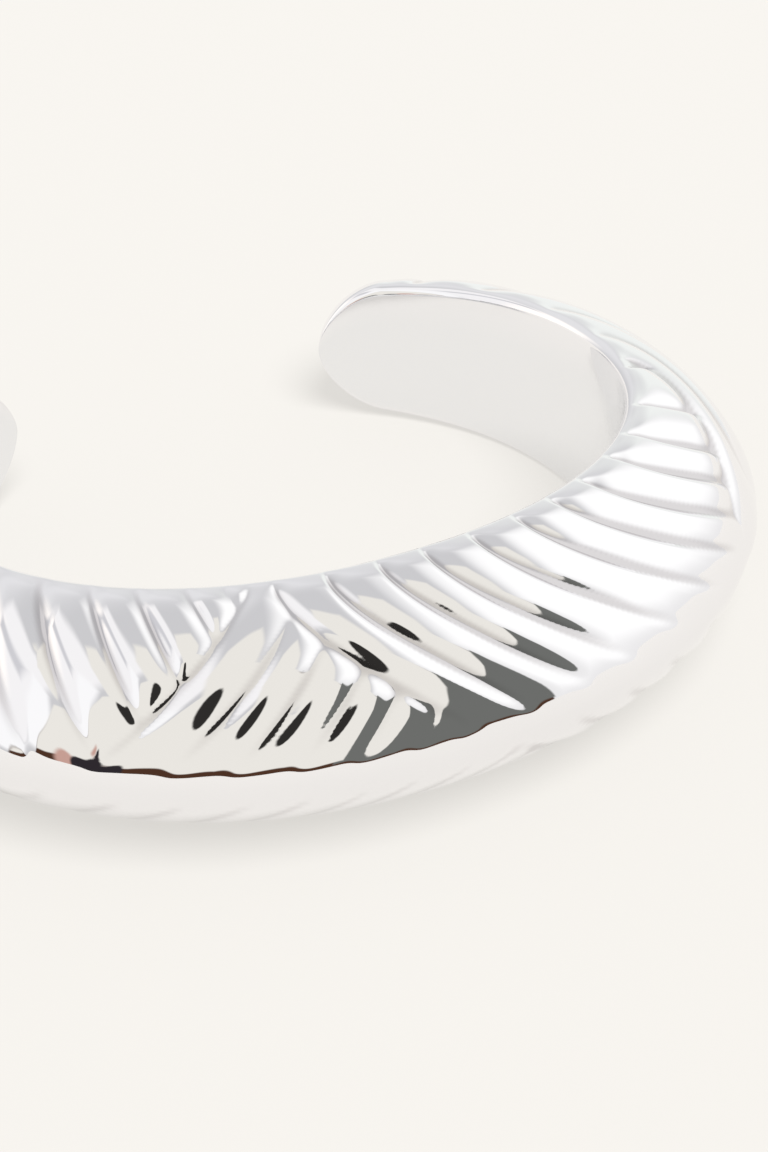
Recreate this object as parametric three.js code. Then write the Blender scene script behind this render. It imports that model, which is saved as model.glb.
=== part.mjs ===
import * as THREE from 'three';

// Open cuff bracelet, lying on its side as it rests on a table. Millimetres, +Z up.
// The wrist opening runs along Z. The front of the cuff, its thickest part, faces -Y,
// and the gap that a wrist slips through faces +Y.
//
// Places on the cuff are given as an angle and a depth. The angle is in degrees round
// the cuff from the middle of the front, positive towards +X. The depth runs over the
// dome of the outer face, from 0 at the upper rim to 1 at the lower rim.

// The wrist opening
const HALF_WIDTH = 29;
const HALF_DEPTH = 24.6;
const OVAL_POWER = 2.12;
const BACK_STRETCH = 0.47;
const TIP_ANGLE = 146;

// The band: half its height and its thickness, at the front and towards the tips
const FRONT_HALF_HEIGHT = 9.34;
const TIP_HALF_HEIGHT = 5.25;
const HEIGHT_POWER = 0.63;
const FRONT_THICKNESS = 12.2;
const TIP_THICKNESS = 8.3;
const THICKNESS_POWER = 1.5;
const RIM_RADIUS = 0.8;
const DOME_OUT_POWER = 1.63;
const DOME_UP_POWER = 1.6;

// The rounded tips
const TIP_ROUNDING = 12;
const TIP_ROUND_POWER = 1.82;
const TIP_THICKNESS_POWER = 0.77;

// How the cuff rests: leaning back on its lower rim, which is worn flat where it touches
const LEAN = 2.65;
const REST_DEPTH = 7.93;
const CENTRE_X = 0;
const CENTRE_Y = -4.97;

// The panels of ribs, by the start of each at the upper rim
const FOLD_START = -27.9;
const SEAM_START = -24.9;
const SIDE_START = 78;
const SIDE_SWEEP = 27;
const LEFT_SLANT = 28.9;
const HOOK_SLANT = 79;
const HOOK_BEND = 0.238;

// The shape of a rib in each panel. The crest is a share of the way across the rib, and a
// higher power makes that side of it fuller. The sink is how much of the height is cut in,
// and the steps are where columns of points run along a rib.
const LEFT_RIB = {
  height: 0.5, crest: 0.35, near: 2.2, far: 3.2, sink: 0.22, rounding: 7.9,
  steps: [0, 0.18, 0.45, 0.75],
};
const FOLD_RIB = {
  height: 0.29, crest: 0.45, near: 2, far: 2.7, sink: 0.81, rounding: 6.8,
  steps: [0, 0.22, 0.45, 0.75],
};
const RIGHT_RIB = {
  height: 0.72, crest: 0.85, near: 3.1, far: 4.2, sink: 0.63, rounding: 8.2,
  steps: [0, 0.3, 0.62, 0.86],
};
const BACK_RIB = {
  height: 0.48, crest: 0.5, near: 2, far: 2, sink: 0.5, rounding: 1,
  steps: [0, 0.25, 0.5, 0.75],
};
const SIDE_HEIGHT_SHARE = 1.27;
const RIB_GROWTH = 0.29;
const LOWER_SHARE = 0.7;

// Where the relief starts below the upper rim, and where it dies away for most panels and
// for the folded one
const RIM_FADE = 0.037;
const FADE = [0.15, 0.56];
const FOLD_FADE = [0.28, 0.55];

// Valleys between ribs, as angles where they leave the upper rim, or past the fold
const LEFT_VALLEYS = [
  -134, -124, -110.5, -97.5, -86, -76, -66.5, -59.1, -51.7, -45, -37.8, -32.2, -25.8, -19,
];
const RIGHT_VALLEYS = [-24.9, -16.6, -7.9, 0.1, 9.1, 18.2, 26.2, 34.2, 43.1, 51.2, 61.3, 74.6, 89.6];
const FOLD_VALLEYS = [0, 8.6, 15.2, 22.5, 29.1, 36.3, 42.3, 49.8, 56.6, 63.5, 70.4, 77.3, 84.1, 91, 97.9];
const BACK_VALLEYS = [78, 88, 101, 115, 128, 134];

// Depths of the rows of points over the dome, and places in the rounding of a tip
const DEPTHS = [
  0, 0.018, 0.045, 0.1, 0.17, 0.24, 0.31, 0.38, 0.44, 0.5,
  0.55, 0.6, 0.67, 0.75, 0.83, 0.9, 0.945, 0.975, 1,
];
const TIP_PLACES = [0.015, 0.06, 0.14, 0.26, 0.42, 0.65, 1];
const RIM_TURNS = [Math.PI / 4, Math.PI / 2];
const LEAST_SPACING = 0.7;

const radians = THREE.MathUtils.degToRad;
const smoothstep = THREE.MathUtils.smoothstep;

// The oval of the wrist opening and the level direction that faces away from the wrist.
function ovalPoint(angle) {
  const across = Math.sin(radians(angle));
  const ahead = Math.cos(radians(angle));
  const reach = (Math.abs(across) / HALF_WIDTH) ** OVAL_POWER + (Math.abs(ahead) / HALF_DEPTH) ** OVAL_POWER;
  const radius = reach ** (-1 / OVAL_POWER);
  return new THREE.Vector2(radius * across, -radius * ahead + BACK_STRETCH * Math.max(-ahead, 0) ** 2);
}

function ovalNormal(angle) {
  const along = ovalPoint(angle + 0.01).sub(ovalPoint(angle - 0.01)).normalize();
  return new THREE.Vector2(along.y, -along.x);
}

// Height, thickness and rim of the band at an angle, drawn in to nothing at the tips.
function band(angle) {
  const fullness = Math.cos((Math.PI / 2) * Math.min(Math.abs(angle) / TIP_ANGLE, 1));
  const inRounding = THREE.MathUtils.clamp((TIP_ANGLE - Math.abs(angle)) / TIP_ROUNDING, 0, 1);
  const drawnIn = (1 - (1 - inRounding) ** TIP_ROUND_POWER) ** (1 / TIP_ROUND_POWER);
  const height = TIP_HALF_HEIGHT + (FRONT_HALF_HEIGHT - TIP_HALF_HEIGHT) * fullness ** HEIGHT_POWER;
  const thickness = TIP_THICKNESS + (FRONT_THICKNESS - TIP_THICKNESS) * fullness ** THICKNESS_POWER;
  return {
    height: height * drawnIn,
    thickness: thickness * drawnIn ** TIP_THICKNESS_POWER,
    rim: RIM_RADIUS * drawnIn,
  };
}

// The dome of the outer face at a height and thickness of 1, from the upper rim down.
class Dome extends THREE.Curve {
  getPoint(share, target = new THREE.Vector3()) {
    const turn = Math.PI * (0.5 - share);
    const out = Math.max(Math.cos(turn), 0) ** (2 / DOME_OUT_POWER);
    const up = Math.sign(turn) * Math.abs(Math.sin(turn)) ** (2 / DOME_UP_POWER);
    return target.set((out * FRONT_THICKNESS) / FRONT_HALF_HEIGHT, up, 0);
  }
}

const dome = new Dome();
dome.arcLengthDivisions = 2000;

function domePoint(angle, depth) {
  const { height, thickness, rim } = band(angle);
  const point = dome.getPointAt(THREE.MathUtils.clamp(depth, 0, 1));
  const out = (point.x * FRONT_HALF_HEIGHT) / FRONT_THICKNESS;
  return new THREE.Vector2(rim + (thickness - rim) * out, height * point.y);
}

function domeNormal(angle, depth) {
  const above = domePoint(angle, Math.max(depth - 0.004, 0));
  const below = domePoint(angle, Math.min(depth + 0.004, 1));
  const down = below.sub(above).normalize();
  return new THREE.Vector2(-down.y, down.x);
}

// A slant that is the same from the lower rim as from the upper one.
function bothWays(slant, depth) {
  return depth <= 0.5 ? slant(depth) : 2 * slant(0.5) - slant(1 - depth);
}

const foldSlant = (depth) => bothWays((down) => 30.6 * down + 25.3 * down ** 2, depth);
const hook = (down) => HOOK_SLANT * (Math.hypot(down, HOOK_BEND) - HOOK_BEND);
const hookSlant = (depth) => bothWays(hook, depth);
const sideSweep = (depth) => SIDE_SWEEP * smoothstep(depth, 0, 0.42);

// The three lines that part the four panels of ribs.
const foldLine = (depth) => FOLD_START - foldSlant(depth);
const seamLine = (depth) => SEAM_START + hookSlant(depth);
const sideLine = (depth) => SIDE_START - sideSweep(depth);

// Slants die out before the tips, so that the tips stay plain.
const plainTips = (start) => 1 - smoothstep(Math.abs(start), 100, 134);
const lazySide = (start) => 1 - 0.25 * smoothstep(start, 30, 60);

function ribRise(rib, across) {
  const { crest, near, far } = rib;
  return across < crest ? 1 - (1 - across / crest) ** near : 1 - ((across - crest) / (1 - crest)) ** far;
}

function ribColumns(valleys, rib) {
  return valleys.slice(1).flatMap((next, index) => rib.steps.map((step) => (
    { start: THREE.MathUtils.lerp(valleys[index], next, step), rise: ribRise(rib, step) }
  )));
}

function tipColumns(side) {
  const columns = TIP_PLACES.map((place) => ({ start: side * (TIP_ANGLE - TIP_ROUNDING * place), rise: 0 }));
  return side < 0 ? columns : columns.reverse();
}

// Each panel runs from one line to the next, and `place` gives the angle of a column.
const PANELS = [
  {
    from: () => -TIP_ANGLE,
    to: foldLine,
    columns: [...tipColumns(-1), ...ribColumns(LEFT_VALLEYS, LEFT_RIB).slice(1)],
    place: (start, depth) => start + LEFT_SLANT * depth * plainTips(start),
    rib: LEFT_RIB,
    fade: FADE,
  },
  {
    from: foldLine,
    to: seamLine,
    columns: ribColumns(FOLD_VALLEYS, FOLD_RIB),
    place: (start, depth) => foldLine(depth) + start,
    rib: FOLD_RIB,
    fade: FOLD_FADE,
  },
  {
    from: seamLine,
    to: sideLine,
    columns: ribColumns(RIGHT_VALLEYS, RIGHT_RIB),
    place: (start, depth) => start + hookSlant(depth) * lazySide(start),
    rib: RIGHT_RIB,
    fade: FADE,
    share: (angle) => 1 + (SIDE_HEIGHT_SHARE - 1) * smoothstep(angle, 0, 50),
  },
  {
    from: sideLine,
    to: () => TIP_ANGLE,
    columns: [...ribColumns(BACK_VALLEYS, BACK_RIB), ...tipColumns(1)],
    place: (start, depth) => start - sideSweep(depth) * plainTips(start),
    rib: BACK_RIB,
    fade: FADE,
  },
];

// Ribs rise from the smooth rims and die out over the widest part of the dome.
function reliefStrength(depth, fade) {
  const growth = 1 + (RIB_GROWTH * (depth - 0.25)) / 0.25;
  const upper = smoothstep(depth, 0, RIM_FADE) * (1 - smoothstep(depth, ...fade)) * growth;
  const lower = LOWER_SHARE * smoothstep(depth, 0.5, 0.6) * (1 - smoothstep(depth, 0.925, 0.98));
  return Math.max(upper, lower);
}

function roundedEnd(distance, rounding) {
  const share = THREE.MathUtils.clamp(distance / rounding, 0, 1);
  return Math.sqrt(1 - (1 - share) ** 2);
}

function relief(panel, angle, depth, rise) {
  const towardsTip = 1 - smoothstep(Math.abs(angle), 126, 134);
  const share = panel.share ? panel.share(angle) : 1;
  return panel.rib.height * share * reliefStrength(depth, panel.fade) * towardsTip * (rise - panel.rib.sink);
}

// Turns a place in a section of the band into a point of the resting cuff.
function placeOnCuff(angle, out, up) {
  const inner = ovalPoint(angle);
  const normal = ovalNormal(angle);
  const y = inner.y + normal.y * out;
  const lean = radians(LEAN);
  const settled = -Math.sin(lean) * y + Math.cos(lean) * up + REST_DEPTH;
  return new THREE.Vector3(
    inner.x + normal.x * out - CENTRE_X,
    Math.cos(lean) * y + Math.sin(lean) * up - CENTRE_Y,
    Math.max(settled, 0),
  );
}

function domeVertex(panel, angle, depth, rise, key) {
  const proud = relief(panel, angle, depth, rise);
  const base = domePoint(angle, depth).addScaledVector(domeNormal(angle, depth), proud);
  return { key, angle, point: placeOnCuff(angle, base.x, base.y) };
}

// One row of points round the cuff at a depth. The same rib has the same key in each row.
function domeRow(depth) {
  const row = [];
  PANELS.forEach((panel, index) => {
    const from = panel.from(depth);
    const to = panel.to(depth);
    const last = index === PANELS.length - 1;
    if (index > 0) row.push(domeVertex(panel, from, depth, 0, index * 1000));
    for (const { start, rise } of panel.columns) {
      const angle = panel.place(start, depth);
      if (index > 0 && angle < from + LEAST_SPACING) continue;
      if (!last && angle > to - LEAST_SPACING) continue;
      const end = last ? 1 : roundedEnd(to - angle, panel.rib.rounding);
      row.push(domeVertex(panel, angle, depth, rise * end, index * 1000 + 400 + start));
    }
  });
  return row;
}

// A row that follows a dome row's angles, elsewhere in the section.
function followingRow(row, section) {
  return row.map(({ angle }) => {
    const { out, up } = section(band(angle));
    return { key: angle, angle, point: placeOnCuff(angle, out, up) };
  });
}

function rimSection(side, turn) {
  return ({ height, rim }) => ({
    out: rim * (1 - Math.sin(turn)),
    up: side * (height - rim * (1 - Math.cos(turn))),
  });
}

const byAngle = (row) => row.map((vertex) => ({ ...vertex, key: vertex.angle }));

// The rows in order round the section: down the dome, round the lower rim, up the flat
// inner face and back round the upper rim.
function sectionRows() {
  const outer = DEPTHS.map(domeRow);
  const top = outer[0];
  const bottom = outer[outer.length - 1];
  const lowerRim = RIM_TURNS.map((turn) => followingRow(bottom, rimSection(-1, turn)));
  const upperRim = RIM_TURNS.map((turn) => followingRow(top, rimSection(1, turn))).reverse();
  return [...outer, ...lowerRim, ...upperRim];
}

// Fills the strip between two rows with triangles, keeping points of like key together.
function stitch(upper, lower, triangles) {
  let above = 0;
  let below = 0;
  while (above + 1 < upper.length || below + 1 < lower.length) {
    const nextAbove = above + 1 < upper.length ? upper[above + 1].key : Infinity;
    const nextBelow = below + 1 < lower.length ? lower[below + 1].key : Infinity;
    if (nextAbove <= nextBelow) {
      triangles.push([upper[above].index, lower[below].index, upper[above + 1].index]);
      above += 1;
    } else {
      triangles.push([upper[above].index, lower[below].index, lower[below + 1].index]);
      below += 1;
    }
  }
}

function cuffGeometry() {
  const rows = sectionRows();
  const points = [];
  rows.forEach((row) => row.forEach((vertex) => {
    vertex.index = points.length;
    points.push(vertex.point);
  }));
  const tips = [-TIP_ANGLE, TIP_ANGLE].map((angle) => points.push(placeOnCuff(angle, 0, 0)) - 1);
  const triangles = [];
  rows.forEach((row, index) => {
    const next = rows[(index + 1) % rows.length];
    const sameKeys = index + 1 < DEPTHS.length;
    stitch(sameKeys ? row : byAngle(row), sameKeys ? next : byAngle(next), triangles);
    triangles.push([tips[0], next[0].index, row[0].index]);
    triangles.push([tips[1], row[row.length - 1].index, next[next.length - 1].index]);
  });
  const geometry = new THREE.BufferGeometry().setFromPoints(points);
  geometry.setIndex(triangles.flat());
  geometry.computeVertexNormals();
  return geometry;
}

const polishedSilver = new THREE.MeshStandardMaterial({ color: 0xe6e6e8, roughness: 0.06, metalness: 1 });

const cuff = new THREE.Mesh(cuffGeometry(), polishedSilver);
cuff.name = 'cuff';

const bracelet = new THREE.Group();
bracelet.add(cuff);

export default bracelet;
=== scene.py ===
"""Looks of an open cuff bracelet: mirror-polished metal with raised slanting ribs.

Sizes on the cuff are in millimetres and degrees, and the mesh is made in metres.
Places on the cuff are an angle and a depth. The angle is in degrees round the cuff from
the middle of the front, positive towards +X. The depth runs over the dome of the outer
face, from 0 at the upper rim to 1 at the lower rim.
"""

import math

import bpy
import numpy as np
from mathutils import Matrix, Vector


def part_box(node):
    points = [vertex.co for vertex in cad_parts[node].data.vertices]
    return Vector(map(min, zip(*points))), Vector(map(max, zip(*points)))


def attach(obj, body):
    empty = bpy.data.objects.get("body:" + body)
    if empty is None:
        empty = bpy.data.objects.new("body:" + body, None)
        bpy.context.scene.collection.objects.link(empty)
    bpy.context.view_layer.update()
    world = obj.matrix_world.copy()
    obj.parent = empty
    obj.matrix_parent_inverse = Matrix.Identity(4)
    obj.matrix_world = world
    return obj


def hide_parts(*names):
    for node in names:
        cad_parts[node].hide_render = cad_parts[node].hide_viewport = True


# The wrist opening
HALF_WIDTH = 29
HALF_DEPTH = 24.6
OVAL_POWER = 2.12
BACK_STRETCH = 0.47
TIP_ANGLE = 146
OVAL_BEHIND_ORIGIN = 4.97

# The band, at the front and towards the tips
FRONT_HALF_HEIGHT = 9.34
TIP_HALF_HEIGHT = 5.25
HEIGHT_POWER = 0.63
FRONT_THICKNESS = 12.2
TIP_THICKNESS = 8.3
THICKNESS_POWER = 1.5
RIM_RADIUS = 0.8
DOME_OUT_POWER = 1.63
DOME_UP_POWER = 1.6

# The rounded tips
TIP_ROUNDING = 12
TIP_ROUND_POWER = 1.82
TIP_THICKNESS_POWER = 0.77

# How the cuff leans and rests
LEAN = 2.65
REST_DEPTH = 7.93

# The panels of ribs, by the start of each at the upper rim, and where slants grow lazy at
# the side and die out before the plain tips
FOLD_START = -27.9
SEAM_START = -24.9
SIDE_START = 78
SIDE_SWEEP = 27
FOLD_SLANT = (30.6, 25.3)
LEFT_SLANT = 28.9
HOOK_SLANT = 79
HOOK_BEND = 0.238
PLAIN_TIPS = (100, 134)
LAZY_SIDE = (30, 60)
LAZINESS = 0.25
SWEEP_DEPTH = 0.42

# Valleys between ribs, as angles where they leave the upper rim, or past the fold
LEFT_VALLEYS = [-134, -124, -110.5, -97.5, -86, -76, -66.5, -59.1, -51.7, -45, -37.8, -32.2, -25.8, -19]
FOLD_VALLEYS = [0, 8.6, 15.2, 22.5, 29.1, 36.3, 42.3, 49.8, 56.6, 63.5, 70.4, 77.3, 84.1, 91, 97.9]
RIGHT_VALLEYS = [-24.9, -16.6, -7.9, 0.1, 9.1, 18.2, 26.2, 34.2, 43.1, 51.2, 61.3, 74.6, 89.6]
BACK_VALLEYS = [78, 88, 101, 115, 128, 134]

# The shape of a rib in each panel. The height is that at the growth depth. The crest is a
# share of the way across the rib, and a higher power makes that side of it fuller. The
# sink is how much of the height is cut in, and the rounding how many degrees before its
# end a rib starts to draw in.
LEFT_RIB = {"height": 0.50, "crest": 0.35, "near": 2.2, "far": 3.2, "sink": 0.22, "rounding": 7.9}
FOLD_RIB = {"height": 0.29, "crest": 0.45, "near": 2.0, "far": 2.7, "sink": 0.81, "rounding": 6.8}
RIGHT_RIB = {"height": 0.72, "crest": 0.85, "near": 3.1, "far": 4.2, "sink": 0.63, "rounding": 8.2}
BACK_RIB = {"height": 0.48, "crest": 0.5, "near": 2, "far": 2, "sink": 0.5, "rounding": 1}

# How ribs grow: those of the right panel towards the side, to a share of their height and
# between two angles, and all of them down the dome. The underside's are a share as high.
# The back panel's have no end nearby.
SIDE_HEIGHT_SHARE = 1.27
SIDE_GROWTH = (0, 50)
RIB_GROWTH = 0.29
GROWTH_DEPTH = 0.25
LOWER_SHARE = 0.7
FAR_FROM_END = 99

# Depths of the widest line, and where the relief starts below the upper rim, dies away for
# most panels and for the folded one, comes back on the underside and dies away again, and
# where it melts into soft waves and ends doing so. The last are angles, where it ends
# before the tips.
WIDEST = 0.5
RIM_FADE = 0.037
FADE = (0.15, 0.56)
FOLD_FADE = (0.28, 0.55)
LOWER_START = (0.5, 0.6)
LOWER_END = (0.925, 0.98)
BELLY_MELT = (0.4, 0.49)
BELLY_MELT_END = (0.5, 0.55)
TIP_FADE = (126, 134)

# Fineness of the mesh, and how far its creases, soft waves and the look round a crease
# are averaged, in columns and rows
FRONT_FROM = -54
FRONT_TO = 104
FRONT_STEP = 0.2
BACK_STEP = 0.42
TIP_COLUMNS = 26
UPPER_ROWS = 51
LOWER_ROWS = 27
RIM_ROWS = 4
INNER_ROWS = 4
FINER = 3
CURVE_STEPS = 8001
RIM_STEPS = 4001
TINY_TURN = 0.01
CREASE_SOFTNESS = 1.2
BELLY_SOFTNESS = (4.5, 2.8)
CREASE_SURROUNDINGS = (5, 4)
CREASE_RANGE = (0.03, 0.16)

# The floor: a softly lit table, most of whose light comes through it from below. It
# reaches this far each way, in metres.
FLOOR_REACH = 3
FLOOR_TINT = (0.93, 0.905, 0.863)
FLOOR_SHADE = 0.1
FLOOR_GLOW = 0.7
FLOOR_ROUGHNESS = 0.8
FLOOR_SPECULAR = 0.2

# The light over the table: its strength, its width in degrees and the way towards it
LIGHT_STRENGTH = 7.7
LIGHT_WIDTH = 35
TOWARDS_LIGHT = (0, -0.6, 1)

# The camera: its place from the middle of the cuff and above the floor and the nearest it
# sees, in metres, its lens in millimetres, and its angles down from level and to the left
# of +Y
CAMERA_PLACE = (-0.0596, -0.1295, 0.1058)
CAMERA_NEAREST = 0.01
CAMERA_LENS = 67.05
CAMERA_DOWN = 35.73
CAMERA_LEFT = -27.39

# The metal: its colours, how much clouds dull it and painted shade darkens the creases,
# and how rough it is by itself, in smears, in creases and on the inner face
BRIGHT_SILVER = (0.915, 0.91, 0.925)
DULL_AND_SHADED_SILVER = (0.62, 0.6, 0.61)
INNER_SILVER = (0.885, 0.89, 0.905)
CLOUD_DULLNESS = 0.06
CREASE_PAINTED_SHADE = 0.9
LEAST_ROUGHNESS = 0.004
SMEAR_ROUGHNESS = 0.03
CREASE_ROUGHNESS = 0.05
INNER_ROUGHNESS = 0.16

# The sizes of its clouds, smears, polishing waves and rubbed marks as features a metre,
# the height of the waves in metres and the share of it that rubbing adds
CLOUD_SCALE = 90
SMEAR_SCALE = 260
WAVE_SCALE = 420
RUBBED_SCALE = 900
RUBBED_STRETCH = (1, 1, 9)
WAVE_HEIGHT = 0.000008
RUBBED_SHARE = 0.35

# The studio around the cuff, as soft-edged panels on the sky, each over the ones before it:
# a name, the corners of a convex shape, half the width of the soft edge in degrees and a
# colour. A corner is two angles from straight overhead: to the right (+X) and to the
# front (-Y).
BEIGE = (0.905, 0.882, 0.82)
ROOM_COLOUR = (0.66, 0.66, 0.67)


def along_horizon(from_overhead, bearings):
    """Corners at bearings in degrees from front to right, at one angle from overhead or each
    at its own."""
    turns = np.radians(bearings)
    return list(zip(from_overhead * np.sin(turns), from_overhead * np.cos(turns)))


def oval_panel(right, front, half_width, half_length, tilt):
    """Corners of an oval around a place on the sky, its front end tilted to the left."""
    turns = np.radians(np.arange(0, 360, 20))
    across = half_width * np.cos(turns)
    along = half_length * np.sin(turns)
    lean = math.radians(tilt)
    rights = right + across * math.cos(lean) - along * math.sin(lean)
    fronts = front + across * math.sin(lean) + along * math.cos(lean)
    return list(zip(rights, fronts))


WALL_FOOT = along_horizon(88.5, [34, 20, 5, -8])
FAR_RIGHT = along_horizon(82, [115, 100, 80, 60, 40])
SKIRTING_TOP = along_horizon(np.array([86, 85.6, 84.9, 84.3, 85.2]), [-4, -15, -30, -50, -68])
SKIRTING = [(-89, 24), (-30, 20), (4, 27), (22, 44), (52, 78), (50, 114), (-89, 110)]
NEAR_RIGHT = [(14, 33), (21, -27), (53, -37)]
RIGHT_WALL = NEAR_RIGHT + [(110, -48), (112, 57), (52, 104)]
FRONT_OPENING = [(-83, 24), (-30, 19), (6, 26), (17, 40), (14, 54), (5, 70)] + SKIRTING_TOP
STUDIO = [
    ("bright_back", [(-30, -38), (24, -38), (30, -75), (-40, -75)], 16, (0.84, 0.84, 0.85)),
    ("left_fabric", [(-131, 8), (-17, 14), (-12, -34), (-122, -66)], 4, (1, 0.99, 0.99)),
    ("back_right_fabric", [(20, -130), (38, -35), (114, -36), (145, -127)], 13, (0.955, 0.98, 0.95)),
    ("left_window", [(-98, -15), (-33, -34), (-28, -65), (-111, -92)], 10, (1.2, 1.15, 1.1)),
    ("right_wall", RIGHT_WALL, 9, (0.92, 0.915, 0.91)),
    ("right_softbox", NEAR_RIGHT + FAR_RIGHT, 9, (1.12, 1.12, 1.11)),
    ("left_shade", [(-47, -3), (-38, -3), (-31, -38), (-43, -42)], 3.5, (0.68, 0.68, 0.705)),
    ("left_strip", [(-82, 34), (-30, 15), (-34, 2), (-86, 12)], 3, (1.05, 1.05, 1.05)),
    ("skirting", SKIRTING, 0.8, (0.08, 0.035, 0.02)),
    ("dark_wall", [(18, 38)] + WALL_FOOT + [(-2, 60)], 0.8, (0.165, 0.17, 0.16)),
    ("front_opening", FRONT_OPENING, 0.8, BEIGE),
    ("beige_board", [(-21, 28), (-19, 3), (-10, -7), (8, -4), (10, 14), (8, 27)], 2, BEIGE),
    ("pink_chair", oval_panel(-75, 43, 6, 9, 60), 2, (0.62, 0.38, 0.32)),
    ("dark_chair", oval_panel(-72, 51, 5, 9, 54), 1, (0.03, 0.025, 0.03)),
    ("camera", oval_panel(-18.5, 39, 7, 15, 18), 1, (0.03, 0.028, 0.026)),
]


def smoothstep(value, low, high):
    share = np.clip((value - low) / (high - low), 0, 1)
    return share * share * (3 - 2 * share)


def oval_point(angle):
    """The wrist opening's outline at an angle."""
    across = np.sin(np.radians(angle))
    ahead = np.cos(np.radians(angle))
    reach = np.abs(across / HALF_WIDTH) ** OVAL_POWER + np.abs(ahead / HALF_DEPTH) ** OVAL_POWER
    radius = reach ** (-1 / OVAL_POWER)
    return radius * across, -radius * ahead + BACK_STRETCH * np.maximum(-ahead, 0) ** 2


def oval_normal(angle):
    """The level direction that faces away from the wrist."""
    x_before, y_before = oval_point(angle - TINY_TURN)
    x_after, y_after = oval_point(angle + TINY_TURN)
    length = np.hypot(x_after - x_before, y_after - y_before)
    return (y_after - y_before) / length, -(x_after - x_before) / length


def band(angle):
    """Half height, thickness and rim radius of the band, drawn in at the tips."""
    fullness = np.maximum(np.cos(np.pi / 2 * np.abs(angle) / TIP_ANGLE), 0)
    in_rounding = np.clip((TIP_ANGLE - np.abs(angle)) / TIP_ROUNDING, 0, 1)
    drawn_in = (1 - (1 - in_rounding) ** TIP_ROUND_POWER) ** (1 / TIP_ROUND_POWER)
    height = TIP_HALF_HEIGHT + (FRONT_HALF_HEIGHT - TIP_HALF_HEIGHT) * fullness**HEIGHT_POWER
    thickness = TIP_THICKNESS + (FRONT_THICKNESS - TIP_THICKNESS) * fullness**THICKNESS_POWER
    return height * drawn_in, thickness * drawn_in**TIP_THICKNESS_POWER, RIM_RADIUS * drawn_in


def dome_curve(depths):
    """The dome at a height and thickness of 1: out and up at each depth, by arc length."""
    turn = np.linspace(np.pi / 2, -np.pi / 2, CURVE_STEPS)
    out = np.maximum(np.cos(turn), 0) ** (2 / DOME_OUT_POWER)
    up = np.sign(turn) * np.abs(np.sin(turn)) ** (2 / DOME_UP_POWER)
    steps = np.hypot(np.diff(out) * FRONT_THICKNESS / FRONT_HALF_HEIGHT, np.diff(up))
    length = np.concatenate([[0], np.cumsum(steps)])
    share = length / length[-1]
    return np.interp(depths, share, out), np.interp(depths, share, up)


def both_ways(slant, depth):
    """A slant that is the same from the lower rim as from the upper one."""
    return np.where(depth <= WIDEST, slant(depth), 2 * slant(WIDEST) - slant(1 - depth))


def fold_slant(depth):
    return both_ways(lambda down: FOLD_SLANT[0] * down + FOLD_SLANT[1] * down**2, depth)


def hook_slant(depth):
    return both_ways(lambda down: HOOK_SLANT * (np.hypot(down, HOOK_BEND) - HOOK_BEND), depth)


def side_sweep(depth):
    return SIDE_SWEEP * smoothstep(depth, 0, SWEEP_DEPTH)


def plain_tips(start):
    return 1 - smoothstep(np.abs(start), *PLAIN_TIPS)


def lazy_side(start):
    return 1 - LAZINESS * smoothstep(start, *LAZY_SIDE)


def left_place(start, depth):
    return start + LEFT_SLANT * depth * plain_tips(start)


def right_place(start, depth):
    return start + hook_slant(depth) * lazy_side(start)


def back_place(start, depth):
    return start - side_sweep(depth) * plain_tips(start)


def starts_of(angles, depths, place):
    """Follows the slant back from each angle and depth to the upper rim."""
    rim = np.linspace(-TIP_ANGLE, TIP_ANGLE, RIM_STEPS)
    return np.stack([np.interp(angles, place(rim, depth), rim) for depth in depths], 1)


def rib_relief(start, valleys, rib, distance):
    """The relief of one panel, whose ribs end round at a distance of 0."""
    valleys = np.array(valleys, float)
    across = np.interp(start, valleys, np.arange(len(valleys))) % 1
    near = np.abs(1 - across / rib["crest"]) ** rib["near"]
    far = np.abs((across - rib["crest"]) / (1 - rib["crest"])) ** rib["far"]
    rise = 1 - np.where(across < rib["crest"], near, far)
    end = np.sqrt(1 - (1 - np.clip(distance / rib["rounding"], 0, 1)) ** 2)
    return rib["height"] * (rise * end - rib["sink"])


def panel_relief(angles, depths):
    """The relief of the ribs over the whole dome, in its four panels."""
    angle = angles[:, None]
    depth = depths[None, :]
    fold = FOLD_START - fold_slant(depth)
    seam = SEAM_START + hook_slant(depth)
    side = SIDE_START - side_sweep(depth)
    left_start = starts_of(angles, depths, left_place)
    right_start = starts_of(angles, depths, right_place)
    back_start = starts_of(angles, depths, back_place)
    left = rib_relief(left_start, LEFT_VALLEYS, LEFT_RIB, fold - angle)
    folded = rib_relief(angle - fold, FOLD_VALLEYS, FOLD_RIB, seam - angle)
    towards_side = 1 + (SIDE_HEIGHT_SHARE - 1) * smoothstep(angle, *SIDE_GROWTH)
    right = rib_relief(right_start, RIGHT_VALLEYS, RIGHT_RIB, side - angle) * towards_side
    back = rib_relief(back_start, BACK_VALLEYS, BACK_RIB, FAR_FROM_END)
    strength = relief_strength(depth, *FADE)
    folded_strength = relief_strength(depth, *FOLD_FADE)
    carved = [left * strength, folded * folded_strength, right * strength]
    return np.select([angle < fold, angle < seam, angle < side], carved, back * strength)


def relief_strength(depth, fade_from, fade_to):
    growth = 1 + RIB_GROWTH * (depth - GROWTH_DEPTH) / GROWTH_DEPTH
    upper = smoothstep(depth, 0, RIM_FADE) * (1 - smoothstep(depth, fade_from, fade_to)) * growth
    lower = LOWER_SHARE * smoothstep(depth, *LOWER_START) * (1 - smoothstep(depth, *LOWER_END))
    return np.maximum(upper, lower)


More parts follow.
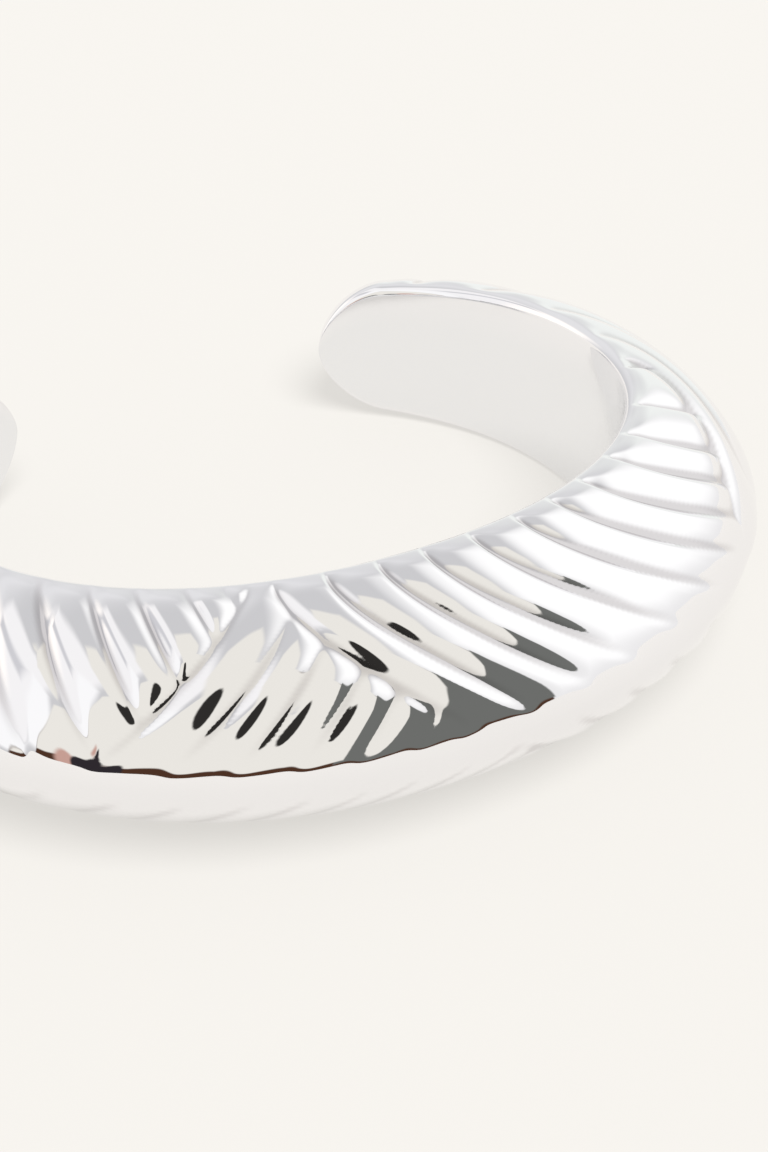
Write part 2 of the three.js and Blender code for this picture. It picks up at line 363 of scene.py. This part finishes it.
def blurred(field, reach, axis):
    """A bell-shaped average along one axis, with the reach counted in steps of the field."""
    width = int(math.ceil(3 * reach))
    offsets = np.arange(-width, width + 1)
    weights = np.exp(-0.5 * (offsets / reach) ** 2)
    pad = [(width, width) if axis == turn else (0, 0) for turn in range(2)]
    padded = np.pad(field, pad, mode="edge")
    size = field.shape[axis]
    places = np.arange(size)
    shifted = (weight * np.take(padded, places + step, axis) for step, weight in enumerate(weights))
    return sum(shifted) / weights.sum()


def averaged(field, reach):
    """The average both ways, reaching so many columns and rows."""
    return blurred(blurred(field, reach[0], 0), reach[1], 1)


def finer(steps):
    """Puts evenly spaced values between each two."""
    count = (len(steps) - 1) * FINER + 1
    return np.interp(np.arange(count) / FINER, np.arange(len(steps)), steps)


def relief(angles, depths):
    """The relief at each column and row, its creases softened as polishing does."""
    before_tip = 1 - smoothstep(np.abs(angles), *TIP_FADE)
    towards_belly = smoothstep(depths, *BELLY_MELT) * (1 - smoothstep(depths, *BELLY_MELT_END))
    softness = CREASE_SOFTNESS * FINER
    carved = averaged(panel_relief(finer(angles), finer(depths)), (softness, softness))
    carved = carved[::FINER, ::FINER]
    melted = averaged(carved, BELLY_SOFTNESS)
    carved = carved + (melted - carved) * towards_belly[None, :]
    return carved * before_tip[:, None]


def crease_depth(carved, depths):
    """1 deep in a crease between two ribs and 0 on the ribs."""
    around = averaged(carved, CREASE_SURROUNDINGS)
    shallowness = 1 + smoothstep(depths, *LOWER_START)
    return smoothstep((around - carved) * shallowness[None, :], *CREASE_RANGE)


def dome_points(angles, depths):
    """Out and up of the ribbed dome, as arrays of columns and rows."""
    height, thickness, rim = (size[:, None] for size in band(angles))
    out_share, up_share = dome_curve(depths)
    out = rim + (thickness - rim) * out_share[None, :]
    up = height * up_share[None, :]
    d_out = np.gradient(out, depths, axis=1)
    d_up = np.gradient(up, depths, axis=1)
    length = np.maximum(np.hypot(d_out, d_up), 1e-9)
    proud = relief(angles, depths)
    return out - d_up / length * proud, up + d_out / length * proud


def rim_points(angles, side):
    """The quarter round from the dome to the inner face, at the upper or lower rim."""
    height, _, rim = (size[:, None] for size in band(angles))
    turn = np.linspace(0, np.pi / 2, RIM_ROWS + 1)[None, 1:]
    return rim * (1 - np.sin(turn)), side * (height - rim * (1 - np.cos(turn)))


def inner_points(angles):
    height, _, rim = (size[:, None] for size in band(angles))
    rows = np.linspace(-1, 1, INNER_ROWS + 1)[None, 1:-1]
    up = rows * (height - rim)
    return np.zeros_like(up), up


def column_angles():
    """Close columns along the front, wider ones behind, and closer ones towards each tip."""
    shares = (np.arange(1, TIP_COLUMNS + 1) / TIP_COLUMNS) ** 2
    left_tip = -TIP_ANGLE + TIP_ROUNDING * shares
    stops = [left_tip[-1], FRONT_FROM, FRONT_TO, -left_tip[-1]]
    stretches = [left_tip]
    for start, stop, step in zip(stops[:-1], stops[1:], [BACK_STEP, FRONT_STEP, BACK_STEP]):
        stretches.append(np.linspace(start, stop, round((stop - start) / step) + 1)[1:])
    return np.concatenate(stretches + [-left_tip[-2::-1]])


def row_depths():
    upper = np.linspace(0, WIDEST, UPPER_ROWS)
    return np.concatenate([upper, np.linspace(WIDEST, 1, LOWER_ROWS)[1:]])


def on_cuff(angles, out, up):
    """Turns places in the sections into points of the resting cuff, in metres."""
    x_inner, y_inner = (value[:, None] for value in oval_point(angles))
    x_normal, y_normal = (value[:, None] for value in oval_normal(angles))
    y = y_inner + y_normal * out
    lean = math.radians(LEAN)
    settled = np.maximum(-math.sin(lean) * y + math.cos(lean) * up + REST_DEPTH, 0)
    leant = math.cos(lean) * y + math.sin(lean) * up + OVAL_BEHIND_ORIGIN
    return np.stack([x_inner + x_normal * out, leant, settled], -1) / 1000


def cuff_mesh():
    angles = column_angles()
    depths = row_depths()
    upper_out, upper_up = rim_points(angles, 1)
    parts = [
        dome_points(angles, depths),
        rim_points(angles, -1),
        inner_points(angles),
        (upper_out[:, ::-1], upper_up[:, ::-1]),
    ]
    out = np.concatenate([part[0] for part in parts], 1)
    up = np.concatenate([part[1] for part in parts], 1)
    points = on_cuff(angles, out, up)
    columns, rows = points.shape[:2]
    tips = on_cuff(np.array([-TIP_ANGLE, TIP_ANGLE], float), np.zeros((2, 1)), np.zeros((2, 1)))
    vertices = np.concatenate([points.reshape(-1, 3), tips.reshape(-1, 3)])
    index = np.arange(columns * rows).reshape(columns, rows)
    below = np.roll(index, -1, axis=1)
    quads = np.stack([index[:-1], below[:-1], below[1:], index[1:]], -1).reshape(-1, 4)
    left_fan = np.stack([np.full(rows, columns * rows), below[0], index[0]], -1)
    right_fan = np.stack([np.full(rows, columns * rows + 1), index[-1], below[-1]], -1)
    mesh = bpy.data.meshes.new("cuff_skin")
    mesh.from_pydata(vertices.tolist(), [], quads.tolist() + left_fan.tolist() + right_fan.tolist())
    inside = np.zeros((columns, rows))
    inside[:, len(depths) + RIM_ROWS - 1 : rows - RIM_ROWS] = 1
    # The crease mask makes the creases rougher and also paints shade into them
    creases = np.zeros((columns, rows))
    creases[:, : len(depths)] = crease_depth(relief(angles, depths), depths)
    for name, values in {"inside": inside, "crease": creases}.items():
        mask = mesh.attributes.new(name, "FLOAT", "POINT")
        mask.data.foreach_set("value", np.concatenate([values.ravel(), [0, 0]]).astype(np.float32))
    mesh.polygons.foreach_set("use_smooth", np.ones(len(mesh.polygons), bool))
    mesh.update()
    return mesh


def new_node(tree, kind, inputs=None, **settings):
    """Adds a node, and sets or links its inputs by name or number."""
    node = tree.nodes.new(kind)
    for name, value in settings.items():
        setattr(node, name, value)
    for socket, value in (inputs or {}).items():
        if isinstance(value, bpy.types.NodeSocket):
            tree.links.new(value, node.inputs[socket])
        else:
            node.inputs[socket].default_value = value
    return node


def noise_value(tree, place, scale, detail, stretch=None):
    """Soft noise from 0 to 1, with the scale in features a metre."""
    if stretch:
        place = new_node(tree, "ShaderNodeMapping", {"Vector": place, "Scale": stretch}).outputs[0]
    inputs = {"Vector": place, "Scale": scale, "Detail": detail}
    return new_node(tree, "ShaderNodeTexNoise", inputs).outputs[0]


def combined(tree, operation, first, second=0.0):
    """One step of arithmetic on numbers or sockets."""
    return new_node(tree, "ShaderNodeMath", {0: first, 1: second}, operation=operation).outputs[0]


def mixed(tree, share, first, second, label=""):
    """The first colour at a share of 0 and the second at 1."""
    inputs = {0: share, 6: first, 7: second}
    return new_node(tree, "ShaderNodeMix", inputs, data_type="RGBA", label=label).outputs[2]


def polished_silver():
    """Bright metal: mirror smooth on the dome, a little duller in the creases and inside, with painted
    shade darkening the creases.
    """
    material = bpy.data.materials.new("polished_silver")
    material.use_nodes = True
    tree = material.node_tree
    shader = tree.nodes["Principled BSDF"]
    shader.inputs["Metallic"].default_value = 1
    place = new_node(tree, "ShaderNodeTexCoord").outputs["Object"]
    inside = new_node(tree, "ShaderNodeAttribute", attribute_name="inside").outputs["Fac"]
    crease = new_node(tree, "ShaderNodeAttribute", attribute_name="crease").outputs["Fac"]

    cloud = noise_value(tree, place, CLOUD_SCALE, 3.0)
    dullness_and_shade = combined(tree, "MULTIPLY", cloud, CLOUD_DULLNESS)
    # Painted shade: the creases are darkened most of the way towards the dull silver
    dullness_and_shade = combined(tree, "ADD", dullness_and_shade, combined(tree, "MULTIPLY", crease, CREASE_PAINTED_SHADE))
    outer_colour = mixed(tree, dullness_and_shade, (*BRIGHT_SILVER, 1), (*DULL_AND_SHADED_SILVER, 1))
    colour = mixed(tree, inside, outer_colour, (*INNER_SILVER, 1))
    tree.links.new(colour, shader.inputs["Base Color"])

    smear = noise_value(tree, place, SMEAR_SCALE, 4.0)
    roughness = combined(tree, "ADD", combined(tree, "MULTIPLY", smear, SMEAR_ROUGHNESS), LEAST_ROUGHNESS)
    for mask, amount in ((crease, CREASE_ROUGHNESS), (inside, INNER_ROUGHNESS)):
        roughness = combined(tree, "ADD", roughness, combined(tree, "MULTIPLY", mask, amount))
    tree.links.new(roughness, shader.inputs["Roughness"])

    waves = noise_value(tree, place, WAVE_SCALE, 1.0)
    rubbed = combined(tree, "MULTIPLY", noise_value(tree, place, RUBBED_SCALE, 3.0, RUBBED_STRETCH), inside)
    height = combined(tree, "ADD", waves, combined(tree, "MULTIPLY", rubbed, RUBBED_SHARE))
    bump = new_node(tree, "ShaderNodeBump", {"Strength": 1.0, "Distance": WAVE_HEIGHT, "Height": height})
    tree.links.new(bump.outputs[0], shader.inputs["Normal"])
    return material


def build_cuff():
    cuff = bpy.data.objects.new("ribbed_cuff", cuff_mesh())
    bpy.context.scene.collection.objects.link(cuff)
    cuff.data.materials.append(polished_silver())
    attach(cuff, "root")
    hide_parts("cuff")


def build_floor(level):
    corners = [(FLOOR_REACH * x, FLOOR_REACH * y, level) for x, y in [(-1, -1), (1, -1), (1, 1), (-1, 1)]]
    mesh = bpy.data.meshes.new("floor")
    mesh.from_pydata(corners, [], [(0, 1, 2, 3)])
    floor = bpy.data.objects.new("floor", mesh)
    bpy.context.scene.collection.objects.link(floor)
    material = bpy.data.materials.new("pale_floor")
    material.use_nodes = True
    shader = material.node_tree.nodes["Principled BSDF"]
    shader.inputs["Base Color"].default_value = (*(FLOOR_SHADE * tint for tint in FLOOR_TINT), 1)
    shader.inputs["Roughness"].default_value = FLOOR_ROUGHNESS
    shader.inputs["Specular IOR Level"].default_value = FLOOR_SPECULAR
    shader.inputs["Emission Color"].default_value = (*FLOOR_TINT, 1)
    shader.inputs["Emission Strength"].default_value = FLOOR_GLOW
    mesh.materials.append(material)


def build_camera(low, high):
    middle = (low + high) / 2
    right, ahead, above = CAMERA_PLACE
    data = bpy.data.cameras.new("camera")
    data.lens = CAMERA_LENS
    data.clip_start = CAMERA_NEAREST
    camera = bpy.data.objects.new("camera", data)
    camera.location = (middle.x + right, middle.y + ahead, low.z + above)
    camera.rotation_euler = (math.radians(90 - CAMERA_DOWN), 0, math.radians(CAMERA_LEFT))
    bpy.context.scene.collection.objects.link(camera)
    bpy.context.scene.camera = camera


def soft_polygon(tree, place, corners, softness):
    """1 inside a convex polygon on the sky and 0 outside it, with a soft edge."""
    middle = np.mean(corners, axis=0)
    reach = None
    for (x, y), (x_next, y_next) in zip(corners, corners[1:] + corners[:1]):
        normal = np.array([y_next - y, x - x_next]) / math.hypot(y_next - y, x - x_next)
        offset = normal @ (x, y)
        if normal @ middle > offset:
            normal, offset = -normal, -offset
        line = (normal[0], normal[1], -offset)
        edge = new_node(tree, "ShaderNodeVectorMath", {0: place, 1: line}, operation="DOT_PRODUCT")
        outside = edge.outputs["Value"]
        reach = outside if reach is None else combined(tree, "MAXIMUM", reach, outside)
    limits = {"Value": reach, "From Min": -softness, "From Max": softness, "To Min": 1, "To Max": 0}
    fade = new_node(tree, "ShaderNodeMapRange", limits, interpolation_type="SMOOTHSTEP")
    return fade.outputs["Result"]


def place_on_sky(tree):
    """Angles from overhead to the right and to the front, in degrees, and a 1."""
    direction = new_node(tree, "ShaderNodeTexCoord").outputs["Generated"]
    x, y, z = new_node(tree, "ShaderNodeSeparateXYZ", {0: direction}).outputs
    squares = [combined(tree, "MULTIPLY", value, value) for value in (x, y)]
    level = combined(tree, "SQRT", combined(tree, "ADD", *squares))
    from_overhead = combined(tree, "MULTIPLY", combined(tree, "ARCTAN2", level, z), 180 / math.pi)
    scale = combined(tree, "DIVIDE", from_overhead, combined(tree, "MAXIMUM", level, 1e-6))
    right = combined(tree, "MULTIPLY", x, scale)
    front = combined(tree, "MULTIPLY", combined(tree, "MULTIPLY", y, scale), -1.0)
    return new_node(tree, "ShaderNodeCombineXYZ", {0: right, 1: front, 2: 1}).outputs[0]


def build_sky():
    world = bpy.data.worlds.new("studio")
    bpy.context.scene.world = world
    world.use_nodes = True
    tree = world.node_tree
    place = place_on_sky(tree)
    colour = (*ROOM_COLOUR, 1)
    for name, corners, softness, tint in STUDIO:
        colour = mixed(tree, soft_polygon(tree, place, corners, softness), colour, (*tint, 1), name)
    tree.links.new(colour, tree.nodes["Background"].inputs["Color"])


def build_overhead_light():
    """A soft light from above and a little in front, for the shadow under the front."""
    data = bpy.data.lights.new("overhead_light", "SUN")
    data.angle = math.radians(LIGHT_WIDTH)
    data.energy = LIGHT_STRENGTH
    light = bpy.data.objects.new("overhead_light", data)
    light.rotation_euler = Vector(TOWARDS_LIGHT).to_track_quat("Z", "Y").to_euler()
    light.visible_glossy = False
    bpy.context.scene.collection.objects.link(light)


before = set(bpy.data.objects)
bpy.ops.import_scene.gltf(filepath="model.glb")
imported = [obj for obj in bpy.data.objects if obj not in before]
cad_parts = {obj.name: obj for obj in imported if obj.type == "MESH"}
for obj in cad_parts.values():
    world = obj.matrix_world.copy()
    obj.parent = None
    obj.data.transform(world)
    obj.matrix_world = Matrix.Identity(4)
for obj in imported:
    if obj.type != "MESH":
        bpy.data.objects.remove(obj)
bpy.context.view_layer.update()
low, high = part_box("cuff")
build_cuff()
build_floor(low.z)
build_camera(low, high)
build_sky()
build_overhead_light()
bpy.context.scene.view_settings.view_transform = "Standard"
